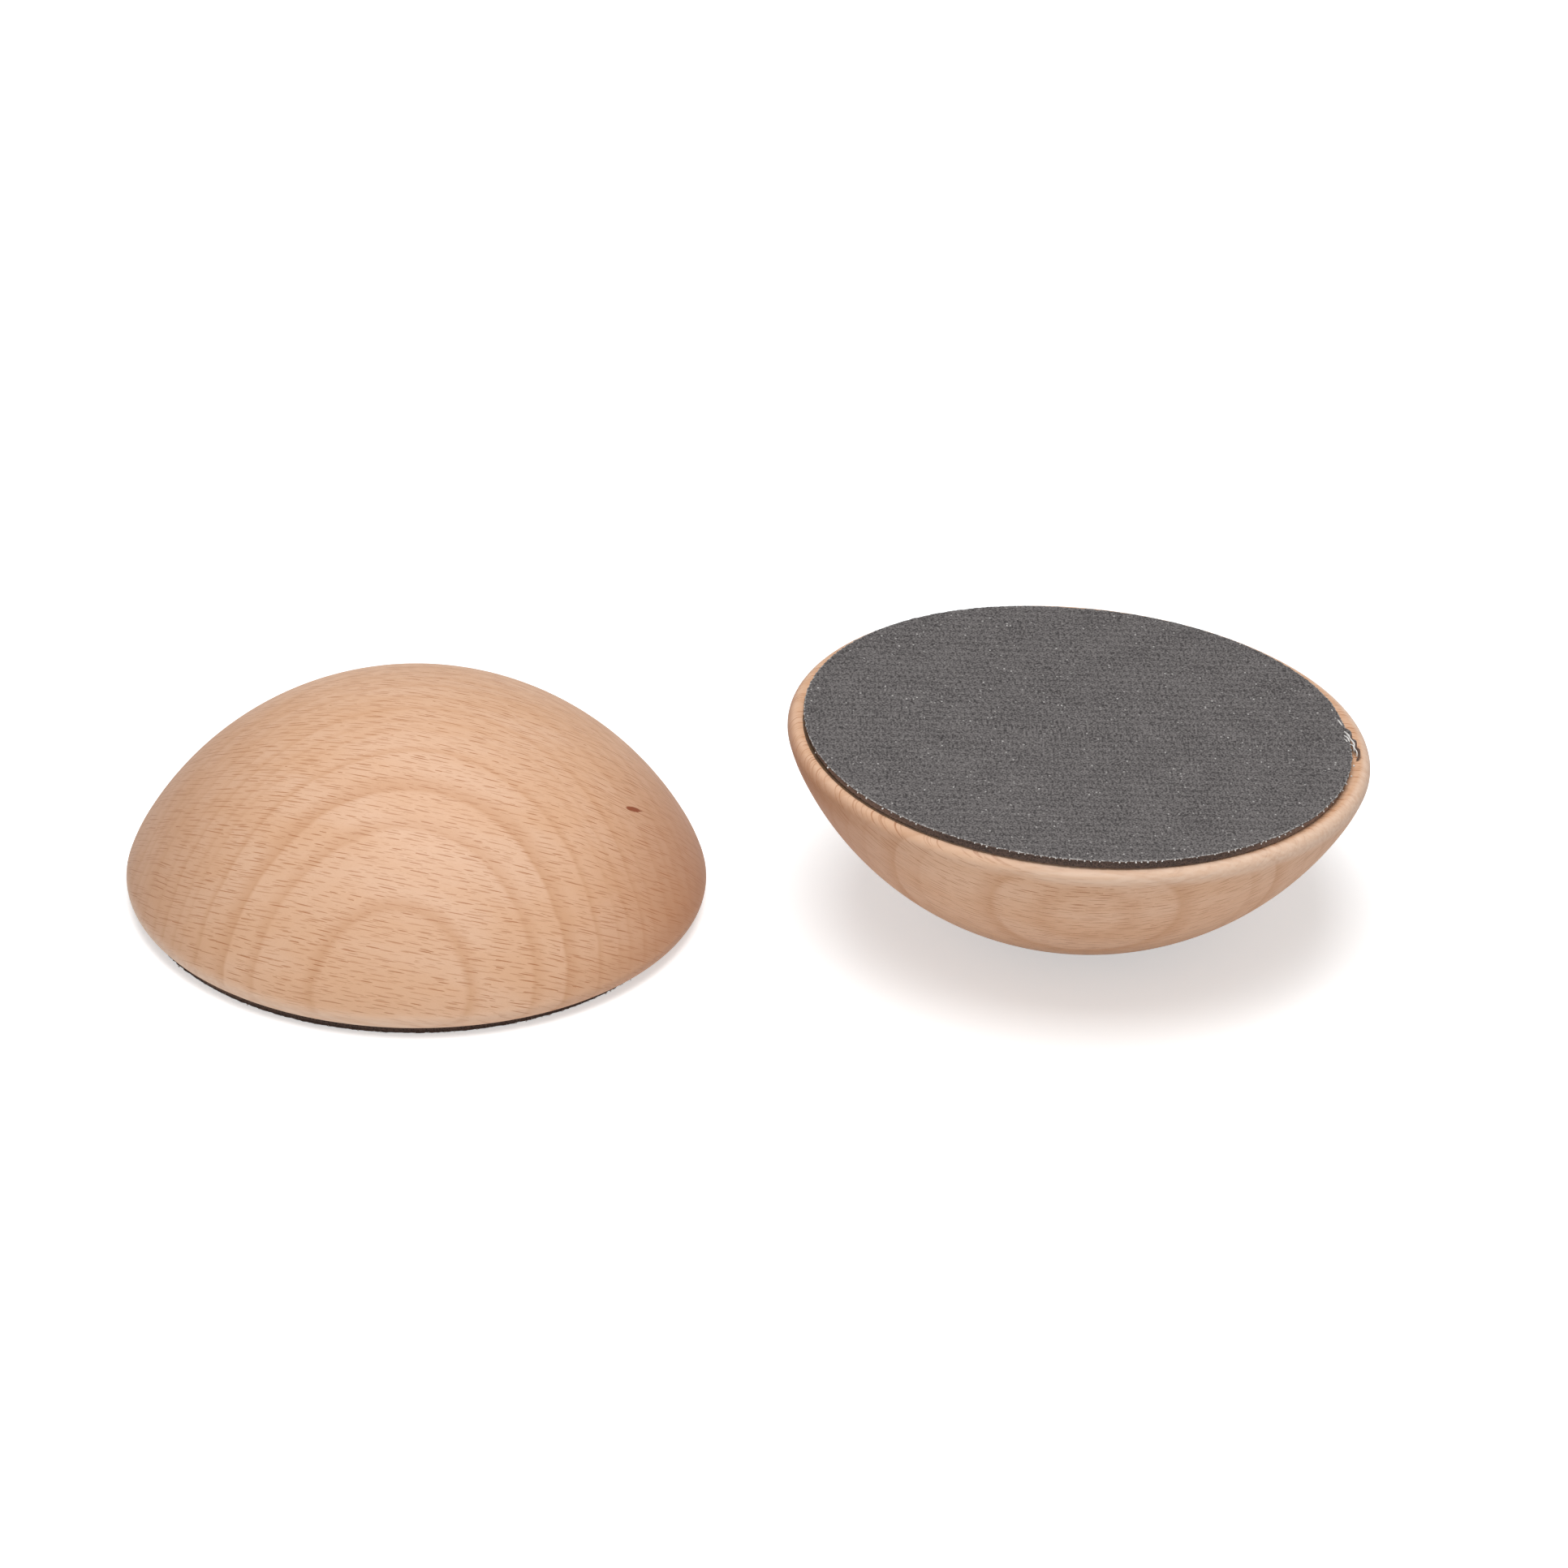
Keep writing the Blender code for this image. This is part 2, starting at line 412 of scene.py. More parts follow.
class Tree:
    """A node tree under construction."""

    def __init__(self, nodes):
        self.nodes = nodes

    def add(self, kind, settings=None, values=(), output=None):
        """Adds a node: its settings first, then its inputs by order or by name."""
        node = self.nodes.nodes.new(kind)
        for name, value in (settings or {}).items():
            setattr(node, name, value)
        sockets = [socket for socket in node.inputs if socket.enabled]
        if not isinstance(values, dict):
            values = dict(enumerate(values))
        for key, value in values.items():
            socket = (
                sockets[key] if isinstance(key, int)
                else next(s for s in sockets if s.name == key)
            )
            if isinstance(value, Number):
                self.nodes.links.new(value.output, socket)
            elif value is not None:
                socket.default_value = value
        made = (
            node.outputs[output] if output
            else next((s for s in node.outputs if s.enabled), None)
        )
        return Number(self, node, made)

    def vector(self, operation, *values):
        return self.add("ShaderNodeVectorMath", {"operation": operation}, values)

    def joined(self, x, y, z):
        return self.add("ShaderNodeCombineXYZ", {}, (x, y, z))

    def polar(self, out, angle, up):
        """The place this far out from +Z, at this angle and height."""
        return self.joined(out * angle.cosine(), out * angle.sine(), up)

    def mix(self, share, first, second):
        """A colour between two; plain colours are given as three numbers."""
        first, second = (
            colour if isinstance(colour, Number) else (*colour, 1.0)
            for colour in (first, second)
        )
        return self.add("ShaderNodeMix", {"data_type": "RGBA"}, (share, first, second))

    def at_scale(self, place, scale):
        """Where a texture is read; scale is one number, or one for each axis."""
        if isinstance(scale, tuple):
            place, scale = self.vector("MULTIPLY", place, scale), 1.0
        return {"Vector": place, "Scale": scale}

    def noise(self, place, scale, detail=2.0):
        return self.add(
            "ShaderNodeTexNoise", {}, {**self.at_scale(place, scale), "Detail": detail}
        )

    def voronoi(self, place, scale=1.0, output="Distance"):
        return self.add("ShaderNodeTexVoronoi", {}, self.at_scale(place, scale), output)

    def attribute(self, name):
        """A number that the mesh keeps for its material."""
        return self.add("ShaderNodeAttribute", {"attribute_name": name}, output="Fac")

    def position(self):
        """The place of each point of a shape."""
        return self.add("GeometryNodeInputPosition")

    def on_object(self, placing=MILLIMETRES):
        """Object coordinates, moved, turned and scaled by a matrix."""
        return self.add("ShaderNodeMapping", {"vector_type": "POINT"}, {
            "Vector": self.add("ShaderNodeTexCoord", output="Object"),
            "Location": placing.to_translation(), "Rotation": placing.to_euler(),
            "Scale": placing.to_scale(),
        })


def hypotenuse(x, y):
    """How far (x, y) is from the middle."""
    return (x * x + y * y).root()


def new_material(name):
    """An empty material, the tree to build it in, and the colours that a user may change."""
    material = bpy.data.materials.new(name)
    material.use_nodes = True
    material.node_tree.nodes.clear()
    return material, Tree(material.node_tree), bpy.context.scene.stone_colours


def show(tree, shader):
    """The shader that the surface takes."""
    tree.add("ShaderNodeOutputMaterial", {}, {"Surface": shader})


def surface(tree, colour, roughness, height, **constants):
    """A Principled surface; its bumps' height is in millimetres."""
    bumps = tree.add("ShaderNodeBump", {}, {"Height": height, "Distance": MM})
    values = {"Base Color": colour, "Roughness": roughness, "Normal": bumps, **constants}
    show(tree, tree.add("ShaderNodeBsdfPrincipled", {}, values))


def in_log(stone):
    """From the object's frame to the log's, in mm, and the grain's way in the stone's frame.

    The log's axes run along the grain, across it, and out from the heart.
    """
    log = LOGS[stone]
    turn, rise = log["grain_turn"], log["grain_rise"]
    grain = Vector((
        math.cos(turn) * math.cos(rise), math.sin(turn) * math.cos(rise), math.sin(rise)
    ))
    heart = log["heart_rise"]
    outward = Vector((0, log["front"] * math.cos(heart), math.sin(heart)))
    outward = (outward - grain * outward.dot(grain)).normalized()
    across = outward.cross(grain)
    axes = Matrix((grain, across, outward)).to_4x4()
    pith = Vector(log["bulls_eye"]) - outward * log["heart_distance"]
    placing = axes @ Matrix.Translation(-pith) @ MILLIMETRES @ POSES[stone].inverted()
    return placing, grain


def named_rings(tree, depth, rings):
    """How dark the wood is by depth, from the rings met on the way in."""
    ramp = tree.add("ShaderNodeValToRGB", {}, (depth / RING_SPAN_MM,))
    stops = ramp.node.color_ramp.elements
    while len(stops) > 1:
        stops.remove(stops[-1])
    stops[0].position, stops[0].color = 0, (0, 0, 0, 1)
    for start, width, strength in rings:
        for at, dark in (
            (start, 0), (start + RING_RISE_MM, strength), (start + width, 0)
        ):
            stop = stops.new(at / RING_SPAN_MM)
            stop.color = (dark, dark, dark, 1)
    return ramp


def ray_flecks(tree, along, around, inward, rays, seed):
    """Rays run from bark to heart: dashes on a flat-sawn face, flakes on a quartered one."""
    (room_along, room_around, room_inward), (length, width) = rays
    along, around = along / room_along + seed, around / room_around
    found = tree.voronoi(
        tree.joined(along, around, inward / room_inward), output="Position"
    )
    middle_along, middle_around, _ = found.parts()
    chance, stretch, _ = found.also("Color").parts()
    x = (along - middle_along) * room_along / (length * (0.55 + stretch * 0.75))
    y = (around - middle_around) * room_around / width
    return hypotenuse(x, y).smooth(0.6, 1.0, 1.0, 0.0) * (0.4 + chance * 0.6)


def beech_material(stone):
    """Oiled beech: growth rings, rays, fibres and the darker end grain, with painted shade on
    its flanks and a painted sheen on its edge round.
    """
    log = LOGS[stone]
    placing, _ = in_log(stone)
    material, tree, colours = new_material(f"beech_{stone}")
    place = tree.on_object(placing)
    along, across, outward = place.parts()
    drift, ripple, fibres, pores, patches, streaks = (
        tree.noise(place, (length, width, width), detail)
        for length, width, detail in WOOD_NOISE.values()
    )

    heart = log["heart_distance"]
    from_heart = hypotenuse(across, outward)
    depth = heart - from_heart
    depth = depth + ((drift - 0.5) * 3.0 + (ripple - 0.5) * 0.9) * depth.smooth(
        0.0, 30.0, 0.15, 1.0
    )
    around = across / from_heart * heart + (drift - 0.5) * 5.0

    # Past the named rings, each year has one of its own
    year = depth / log["year"] + (drift - 0.5) * 2.0
    in_year = year.part()
    year_chance = tree.add(
        "ShaderNodeTexWhiteNoise", {"noise_dimensions": "1D"}, {"W": year.whole()}
    )
    later = (
        in_year.smooth(0.0, 0.14) * in_year.smooth(0.14, 0.8, 1.0, 0.0)
        * (0.2 + year_chance * 0.45)
    )
    deep = depth.smooth(41.0, 46.0)
    rings = named_rings(tree, depth, log["rings"]) * (1 - deep) + later * deep

    flecks = ray_flecks(tree, along, around, depth, LONG_RAYS, log["seed"])
    short_flecks = ray_flecks(tree, along, around, depth, SHORT_RAYS, log["seed"] * 2)
    # The end grain's darkening is the wood's own, but its strength at each end is painted
    # shade, greatest on the flank that faces the other stone
    end_grain_and_flank_shade = tree.attribute("end_grain_and_flank_shade")
    shade_between_stones = along.smooth(-50.0, 50.0, *log["side_shade_strengths"])
    # Painted sheen on the edge round, kept weaker on the flank in the painted shade between
    # the stones
    edge = painted_edge_sheen(tree, stone) * shade_between_stones.smooth(0.65, 0.95, 1.0, 0.2)
    marks = (
        (flecks * 0.95).at_least(short_flecks * 0.6) * (1 - edge * 0.6)
        * log["fleck_strength"]
    )

    colour = tree.mix(patches.smooth(0.3, 0.7), colours.wood, colours.wood_warm)
    for share, shade in (
        (rings * 0.8, colours.ring),
        (fibres.ramp(0.35, 0.65, 0.0, 0.16), colours.ring),
        (pores.smooth(0.6, 0.75) * 0.22, colours.fleck),
        # end grain, darker at the flanks: the wood's own, made stronger as painted shade
        # between the stones
        (end_grain_and_flank_shade.smooth(0.4, 1.0) * shade_between_stones, colours.end_grain_and_flank_shade),
        (marks, colours.fleck),
        # painted sheen on the edge round, broken into streaks
        (edge * streaks.smooth(0.3, 0.7, 0.32, 0.62), colours.edge_sheen),
    ):
        colour = tree.mix(share, colour, shade)
    if stone == "upright":
        colour = tree.mix(blemish(tree, place, placing), colour, colours.blemish)

    roughness = (
        0.49 + (fibres - 0.5) * 0.12 + rings * 0.04 - marks * 0.06 + end_grain_and_flank_shade * 0.06
    )
    height = (
        (fibres - 0.5) * 0.02 - pores.smooth(0.6, 0.8) * 0.02 - marks * 0.025
        + (ripple - 0.5) * 0.05
    )
    surface(tree, colour, roughness, height, **{"Specular IOR Level": 0.38})
    return material


def painted_edge_sheen(tree, stone):
    """Where the dome's edge round takes a painted sheen: a pale highlight, as from the light
    above.
    """
    x, y, z = tree.on_object(MILLIMETRES @ POSES[stone].inverted()).parts()
    radius, foot = DOME_WIDTH / MM / 2, DOME_FOOT / MM
    edge = bpy.context.scene.stone_sizes.edge_round / MM
    return hypotenuse(x, y).smooth(radius - edge, radius - edge * 0.5) * z.smooth(
        foot + edge * 0.8, foot + edge * 1.9, 1.0, 0.0
    )


def blemish(tree, place, placing):
    """A fleck of bark with a thin tail along the grain."""
    middle = placing @ (Vector(BLEMISH_MM) * MM)
    x, y, z = tree.vector("SUBTRACT", place, tuple(middle)).parts()
    ragged = tree.noise(place, 2.2)
    body = (x / 2.5) ** 2 + (y / 0.58) ** 2 + (z / 3.0) ** 2
    tail_x = x - 3.2
    tail = (tail_x / 3.2) ** 2 + (y / 0.3) ** 2 + (z / 3.0) ** 2
    return (body.at_most(tail) + (ragged - 0.5) * 0.8).smooth(0.7, 1.4, 0.95, 0.0)


def lattice(x, y):
    """Counts of columns and rows of the weave, at a place in its plane."""
    (column_x, column_y), (row_x, row_y) = COLUMN_MM, ROW_MM
    size = column_x * row_y - column_y * row_x
    return (x * row_y - y * row_x) / size, (y * column_x - x * column_y) / size


def facing_material(stone):
    """Grip coating over a coarse weave, painted lighter on its bumps and darker in its
    hollows, with pale specks here and there.
    """
    material, tree, colours = new_material(f"grip_fabric_{stone}")
    turn = Matrix.Rotation(-FACING_TURN[stone], 4, "Z")
    place = tree.on_object(turn @ MILLIMETRES @ PADS[stone].inverted())
    x, y, z = place.parts()
    columns, rows = lattice(x, y)
    lumps = tree.noise(place, (1.9, 1.2, 1.0), 4.0)
    grains = tree.noise(place, 1.9)
    cloud = tree.noise(place, 0.08)
    pits = tree.voronoi(place, (0.42, 0.3, 0.0))
    weave = sum(
        ((columns * in_column + rows * in_row) * math.tau + start).cosine() * strength
        for in_column, in_row, start, strength in WEAVE_WAVES
    )
    weave = (
        weave + (lumps - 0.5) * 4.4 + (grains - 0.5) * 3.8 + (cloud - 0.5) * 0.8
        - pits.smooth(0.06, 0.22, 1.2, 0.0)
    )
    # Painted light and shade of the weave: lighter on its bumps, darker in its hollows and
    # pits, over a mottle
    colour = tree.mix(weave.smooth(-1.1, 1.1), colours.facing_hollow_shade, colours.facing)

    # Pale specks scattered at random over the facing
    spots = tree.voronoi(place, (1.1, 0.8, 0.0))
    chance, strength, _ = spots.also("Color").parts()
    pale_specks = (
        (spots + (grains - 0.5) * 0.3).smooth(0.15, 0.36, 1.0, 0.0)
        * chance.over(0.86) * (0.15 + strength ** 2 * 0.85)
    )
    worn = tree.attribute("rim").smooth(0.3, 0.8) * lumps.smooth(0.42, 0.6, 0.1, 1.0)
    colour = tree.mix(pale_specks.at_least(worn * 0.8), colour, colours.speck)
    colour = tree.mix(z.smooth(0.22, 0.34), colour, colours.foam)
    roughness = 0.62 + (grains - 0.5) * 0.2 - weave * 0.04
    height = weave * 0.05 + (grains - 0.5) * 0.05 + pale_specks * 0.05
    surface(tree, colour, roughness, height, **{"Specular IOR Level": 0.4})
    return material


def foam_material(stone):
    """Cut side of a closed-cell foam, with painted shade in its open cells and painted light
    on its left and right sides.
    """
    material, tree, colours = new_material(f"cut_foam_{stone}")
    place = tree.on_object(MILLIMETRES @ PADS[stone].inverted())
    x, y, _ = place.parts()
    cells = tree.voronoi(place, 2.2)
    fine = tree.noise(place, 5.0, 3.0)
    # Painted shade: darker inside the foam's open cells
    colour = tree.mix(
        (cells + (fine - 0.5) * 0.6).smooth(0.15, 0.6), colours.foam_cell_shade, colours.foam
    )
    # Painted light: the foam's cut side is lighter towards its left and right, as if lit
    # there
    to_side = abs(x) / hypotenuse(x, y)
    foam_side_light = to_side.smooth(0.4, 0.95) * fine.smooth(0.3, 0.6, 0.35, 0.75)
    colour = tree.mix(foam_side_light, colour, colours.foam_side_light)
    surface(tree, colour, 0.8 + (fine - 0.5) * 0.2, cells * 0.12 + fine * 0.06)
    return material


def adhesive_material():
    """A film of dried contact adhesive, drawn into ripples by the roller."""
    material, tree, colours = new_material("contact_adhesive")
    ripples = tree.noise(tree.on_object(), (0.4, 2.5, 1.0), 3.0)
    colour = tree.mix(ripples.smooth(0.3, 0.7), colours.adhesive, colours.foam)
    surface(tree, colour, 0.35 + ripples * 0.2, ripples * 0.05)
    return material


def thread_material():
    """Pale spun thread, greyed by the coating in places."""
    material, tree, colours = new_material("bare_thread")
    place = tree.on_object()
    twist = tree.noise(place, 6.0)
    soiled = tree.noise(place, 0.7)
    colour = tree.mix(
        (twist * 0.4 + soiled * 0.6).smooth(0.5, 0.8), colours.thread, colours.facing
    )
    surface(tree, colour, 0.75 + (twist - 0.5) * 0.2, twist * 0.06)
    return material


def new_shape(name, *inputs):
    """A Geometry Nodes tree with named inputs; returns the tree and its inputs by name."""
    nodes = bpy.data.node_groups.new(name, "GeometryNodeTree")
    for label in inputs:
        kind = INPUT_KINDS.get(label, "Float")
        nodes.interface.new_socket(label, in_out="INPUT", socket_type=f"NodeSocket{kind}")
    nodes.interface.new_socket(
        "Geometry", in_out="OUTPUT", socket_type="NodeSocketGeometry"
    )
    tree = Tree(nodes)
    given = tree.add("NodeGroupInput")
    return tree, {label: given.also(label) for label in inputs}


def finish_shape(tree, geometry, material):
    """Ends a tree with smooth shading, real geometry and its material."""
    geometry = tree.add("GeometryNodeSetShadeSmooth", {}, {"Geometry": geometry})
    geometry = tree.add("GeometryNodeRealizeInstances", {}, {"Geometry": geometry})
    geometry = tree.add(
        "GeometryNodeSetMaterial", {}, {"Geometry": geometry, "Material": material}
    )
    tree.add("NodeGroupOutput", {}, (geometry,))


def moved(tree, geometry, position, chosen=None):
    """Moves all of a piece's points, or the chosen ones."""
    return tree.add(
        "GeometryNodeSetPosition", {},
        {"Geometry": geometry, "Position": position, "Selection": chosen},
    )


def welded(tree, geometry):
    """Points in one place become one."""
    return tree.add(
        "GeometryNodeMergeByDistance", {}, {"Geometry": geometry, "Distance": WELD}
    )


def flat_grid(tree, size, across, rows):
    """A square grid about the origin, and the place of each of its points."""
    grid = tree.add(
        "GeometryNodeMeshGrid", {},
        {"Size X": size, "Size Y": size, "Vertices X": across, "Vertices Y": rows},
    )
    x, y, _ = tree.position().parts()
    return grid, x, y


def turned_grid(tree, around, rows):
    """A grid, with each point's angle round the axis and its share of the way up."""
    grid, x, y = flat_grid(tree, 1.0, around, rows)
    return grid, (x + 0.5) * math.tau, y + 0.5


def turned_flat(tree, place, angle):
    """A place, turned about +Z."""
    return tree.add(
        "ShaderNodeVectorRotate", {"rotation_type": "Z_AXIS"},
        {"Vector": place, "Angle": angle},
    )


def stored(tree, geometry, name, value):
    """Keeps a number at each point, for the material."""
    return tree.add(
        "GeometryNodeStoreNamedAttribute", {"data_type": "FLOAT", "domain": "POINT"},
        {"Geometry": geometry, "Name": name, "Value": value},
    )


def random_vector(tree, low, high, seed):
    """A vector for each point, between two."""
    return tree.add(
        "FunctionNodeRandomValue", {"data_type": "FLOAT_VECTOR"},
        {"Min": low, "Max": high, "Seed": seed},
    )


def direction(angle):
    """The cosine and sine of a plain angle, or of one that a node gives."""
    if isinstance(angle, Number):
        return angle.cosine(), angle.sine()
    return math.cos(angle), math.sin(angle)


def dome_shape():
    """A turned dome: flat base, edge round, shoulder and crown, each smooth to the next."""
    tree, given = new_shape(
        "Turned dome", "Diameter", "Height", "Edge Round", "Side Lean", "Shoulder Radius",
        "Foot", "Grain", "Steps", "Material",
    )
    edge, lean, shoulder = given["Edge Round"], given["Side Lean"], given["Shoulder Radius"]
    edge_x = given["Diameter"] / 2 - edge
    shoulder_x = edge_x - (shoulder - edge) * lean.cosine()
    shoulder_drop = given["Height"] - edge + (shoulder - edge) * lean.sine()
    crown = (shoulder_x ** 2 + shoulder_drop ** 2 - shoulder ** 2) / (
        2 * (shoulder_drop - shoulder)
    )
    meeting = (shoulder_x / (crown - shoulder)).arccosine()

    # Each arc's radius, the share of the rows where it starts and ends, and its angles there
    base_end, edge_end, shoulder_end = 0.06, 0.16, 0.5
    arcs = (
        (edge, (base_end, edge_end), (-math.pi / 2, lean)),
        (shoulder, (edge_end, shoulder_end), (lean, meeting)),
        (crown, (shoulder_end, 1.0), (meeting, math.pi / 2)),
    )
    grid, turn, rise = turned_grid(tree, given["Steps"], DOME_ROWS)
    out, up = rise.ramp(0.0, base_end) * edge_x, given["Foot"]
    for radius, rows, (start, end) in arcs:
        angle = rise.ramp(*rows, start, end)
        start_cosine, start_sine = direction(start)
        out = out + radius * (angle.cosine() - start_cosine)
        up = up + radius * (angle.sine() - start_sine)
    dome = welded(tree, moved(tree, grid, tree.polar(out, turn, up)))
    across_grain = tree.vector(
        "DOT_PRODUCT", tree.add("GeometryNodeInputNormal", output="Normal"), given["Grain"]
    ).also("Value")
    # How squarely the surface cuts the grain: the mask of the darker end grain, which also
    # paints shade on the flanks
    dome = stored(tree, dome, "end_grain_and_flank_shade", abs(across_grain))
    finish_shape(tree, dome, given["Material"])
    return tree.nodes


def foam_shape():
    """A disc of foam whose cut side shows its open cells."""
    tree, given = new_shape(
        "Foam disc", "Radius", "Thickness", "Foot", "Cell", "Steps", "Material"
    )
    radius, foot, cell = given["Radius"], given["Foot"], given["Cell"]
    top = foot + given["Thickness"]
    base_end, side_end = 0.2, 0.8    # as shares of the rows
    grid, turn, rise = turned_grid(tree, given["Steps"], FOAM_ROWS)
    out = radius * rise.ramp(0.0, base_end) * rise.ramp(side_end, 1.0, 1.0, 0.0)
    up = foot + given["Thickness"] * rise.ramp(base_end, side_end)
    disc = moved(tree, grid, tree.polar(out, turn, up))

    # Cells open only at the cut side, and less near the faces
    x, y, z = tree.position().parts()
    pit = tree.voronoi(tree.joined(x / cell, y / cell, z / cell))
    pit = pit.smooth(0.1, 0.65, 1.0, 0.0)
    on_side = hypotenuse(x, y).ramp(radius - 0.2 * MM, radius - 0.1 * MM)
    off_ends = z.ramp(foot, foot + 0.1 * MM) * z.ramp(top - 0.1 * MM, top, 1.0, 0.0)
    share = 1 - pit * on_side * (0.3 + off_ends * 0.7) * cell * CELL_DEPTH / radius
    disc = moved(tree, disc, tree.joined(x * share, y * share, z))
    finish_shape(tree, welded(tree, disc), given["Material"])
    return tree.nodes


def facing_shape():
    """A round of grip fabric: soft bumps outside, plain inside, and an uneven cut edge."""
    tree, given = new_shape(
        "Grip facing", "Radius", "Thickness", "Relief", "Turn", "Bite", "Back Corners",
        "Steps", "Material",
    )
    radius, thick = given["Radius"], given["Thickness"]

    # The grid's squares of points become circles
    grid, x, y = flat_grid(tree, 2.0, given["Steps"], given["Steps"])
    wide = abs(x).over(abs(y))
    reach = y + (x - y) * wide
    angle = (math.pi / 2 - x / y * (math.pi / 4)) * (1 - wide) + (
        y / x * (math.pi / 4)
    ) * wide
    disc = moved(tree, grid, tree.polar(radius * reach, angle, 0))

    place = tree.position()
    x, y, _ = place.parts()
    in_mm = tree.vector("MULTIPLY", place, (1 / MM, 1 / MM, 1 / MM))
    in_weave = turned_flat(tree, in_mm, -given["Turn"])
    u, v, _ = in_weave.parts()
    columns, rows = lattice(u, v)
    yarns = tree.noise(in_weave, (1.2, 0.6, 1.0))
    bumps = (
        0.5 + (columns * math.tau).cosine() * 0.06 + (rows * math.tau).cosine() * 0.06
        + (yarns - 0.5) * 1.8
    ).at_least(0).at_most(1)
    off_axis = hypotenuse(x, y)
    rim = off_axis.smooth(radius - RIM_WIDTH, radius)
    disc = stored(tree, disc, "rim", rim)

    uneven = (tree.noise(in_mm, 0.8, 3.0) - 0.3).at_least(0) * MM
    heading = y.heading(x)
    off_bite = ((heading - BITE_HEADING) / BITE_SPREAD) ** 2
    bite = given["Bite"] * (1 / (1 + off_bite * off_bite))
    corners = given["Back Corners"] * (abs((heading * 2).sine()) * (1 - y.over(0)))
    near_edge = off_axis.smooth(radius - OUTLINE_REACH, radius)
    share = 1 - near_edge * (uneven + bite - corners) / radius
    disc = moved(tree, disc, tree.joined(
        x * share, y * share,
        given["Relief"] * (1 - bumps) * (1 - rim) + rim * thick * RIM_PRESS,
    ))

    # The cut side is drawn up from the outline, and the plain back in from its top
    faces = tree.add("GeometryNodeInputMeshEdgeNeighbors", output="Face Count")
    top_x, top_y, _ = tree.position().parts()
    edges = faces.math("COMPARE", faces, 1, 0.5)
    for place in (tree.joined(top_x, top_y, thick), tree.joined(0, 0, thick)):
        drawn = tree.add(
            "GeometryNodeExtrudeMesh", {"mode": "EDGES"},
            {"Mesh": disc, "Selection": edges, "Offset Scale": 0.0},
        )
        edges = drawn.also("Top")
        disc = moved(tree, drawn, place, edges)
    finish_shape(tree, welded(tree, disc), given["Material"])
    return tree.nodes


def thread_shape():
    """Ends of the warp threads, one for each column of the weave, where the die cut them."""
    tree, given = new_shape(
        "Thread ends", "Radius", "Height", "Pitch", "Turn", "Thickness", "Seed", "Material"
    )
    radius, pitch, seed = given["Radius"], given["Pitch"], given["Seed"]
    points = tree.add("GeometryNodeJoinGeometry")
    for side in (-1, 1):
        line = tree.add(
            "GeometryNodeMeshLine", {}, {"Count": (2 * radius / pitch).whole()}
        )
        x = (tree.add("GeometryNodeInputIndex") + 0.5) * pitch - radius
        y = (radius * radius - x * x).at_least(0).root() * side
        row = moved(tree, line, tree.joined(x, y, 0))
        tree.nodes.links.new(row.output, points.node.inputs[0])
    turned = turned_flat(tree, tree.position(), given["Turn"])
    lifted = tree.vector("ADD", turned, tree.joined(0, 0, given["Height"]))
    wobble = random_vector(tree, -THREAD_WOBBLE, THREAD_WOBBLE, seed)
    points = moved(tree, points, tree.vector("ADD", lifted, wobble))

    stub = tree.add(
        "GeometryNodeMeshUVSphere", {},
        {"Segments": 6, "Rings": 4, "Radius": given["Thickness"] / 2},
    )
    outward = tree.vector("NORMALIZE", tree.vector("MULTIPLY", tree.position(), (1, 1, 0)))
    lean = random_vector(tree, -THREAD_LEAN, THREAD_LEAN, seed + 1)
    aim = tree.add(
        "FunctionNodeAlignRotationToVector", {"axis": "Z"},
        {"Vector": tree.vector("ADD", outward, lean)},
    )
    kept = tree.add(
        "FunctionNodeRandomValue", {"data_type": "BOOLEAN"},
        {"Probability": THREAD_SHARE, "Seed": seed + 3},
    )
    threads = tree.add(
        "GeometryNodeInstanceOnPoints", {},
        {"Points": points, "Selection": kept, "Instance": stub, "Rotation": aim,
         "Scale": random_vector(tree, *THREAD_SCALES, seed + 2)},
    )
    finish_shape(tree, threads, given["Material"])
    return tree.nodes


def in_scene(name, data):
    """A new object, in the scene."""
    item = bpy.data.objects.new(name, data)
    bpy.context.scene.collection.objects.link(item)
    return item


def grown(name, shape, values, pose):
    """A piece made by a node tree, as a plain mesh in its stone's place."""
    piece = in_scene(name, bpy.data.meshes.new(name))
    modifier = piece.modifiers.new(shape.name, "NODES")
    modifier.node_group = shape
    for socket in shape.interface.items_tree:
        if socket.in_out == "INPUT":
            modifier[socket.identifier] = values[socket.name]
    depsgraph = bpy.context.evaluated_depsgraph_get()
    mesh = bpy.data.meshes.new_from_object(
        piece.evaluated_get(depsgraph), preserve_all_data_layers=True, depsgraph=depsgraph
    )
    piece.modifiers.remove(modifier)
    return settled(piece, mesh, pose)


def settled(piece, mesh, pose):
    """Gives a piece its mesh, in its stone's place and with its faces outwards."""
    mesh.name = piece.name
    mesh.transform(pose)
    solid = bmesh.new()
    solid.from_mesh(mesh)
    if solid.calc_volume(signed=True) < 0:
        mesh.flip_normals()
    solid.free()
    piece.data = mesh
    return piece


def fitted(piece, slot, *nodes):
    """The piece rides on the stones' body and stands for these CAD nodes."""
    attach(piece, "root")
    if nodes:
        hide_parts(*nodes)


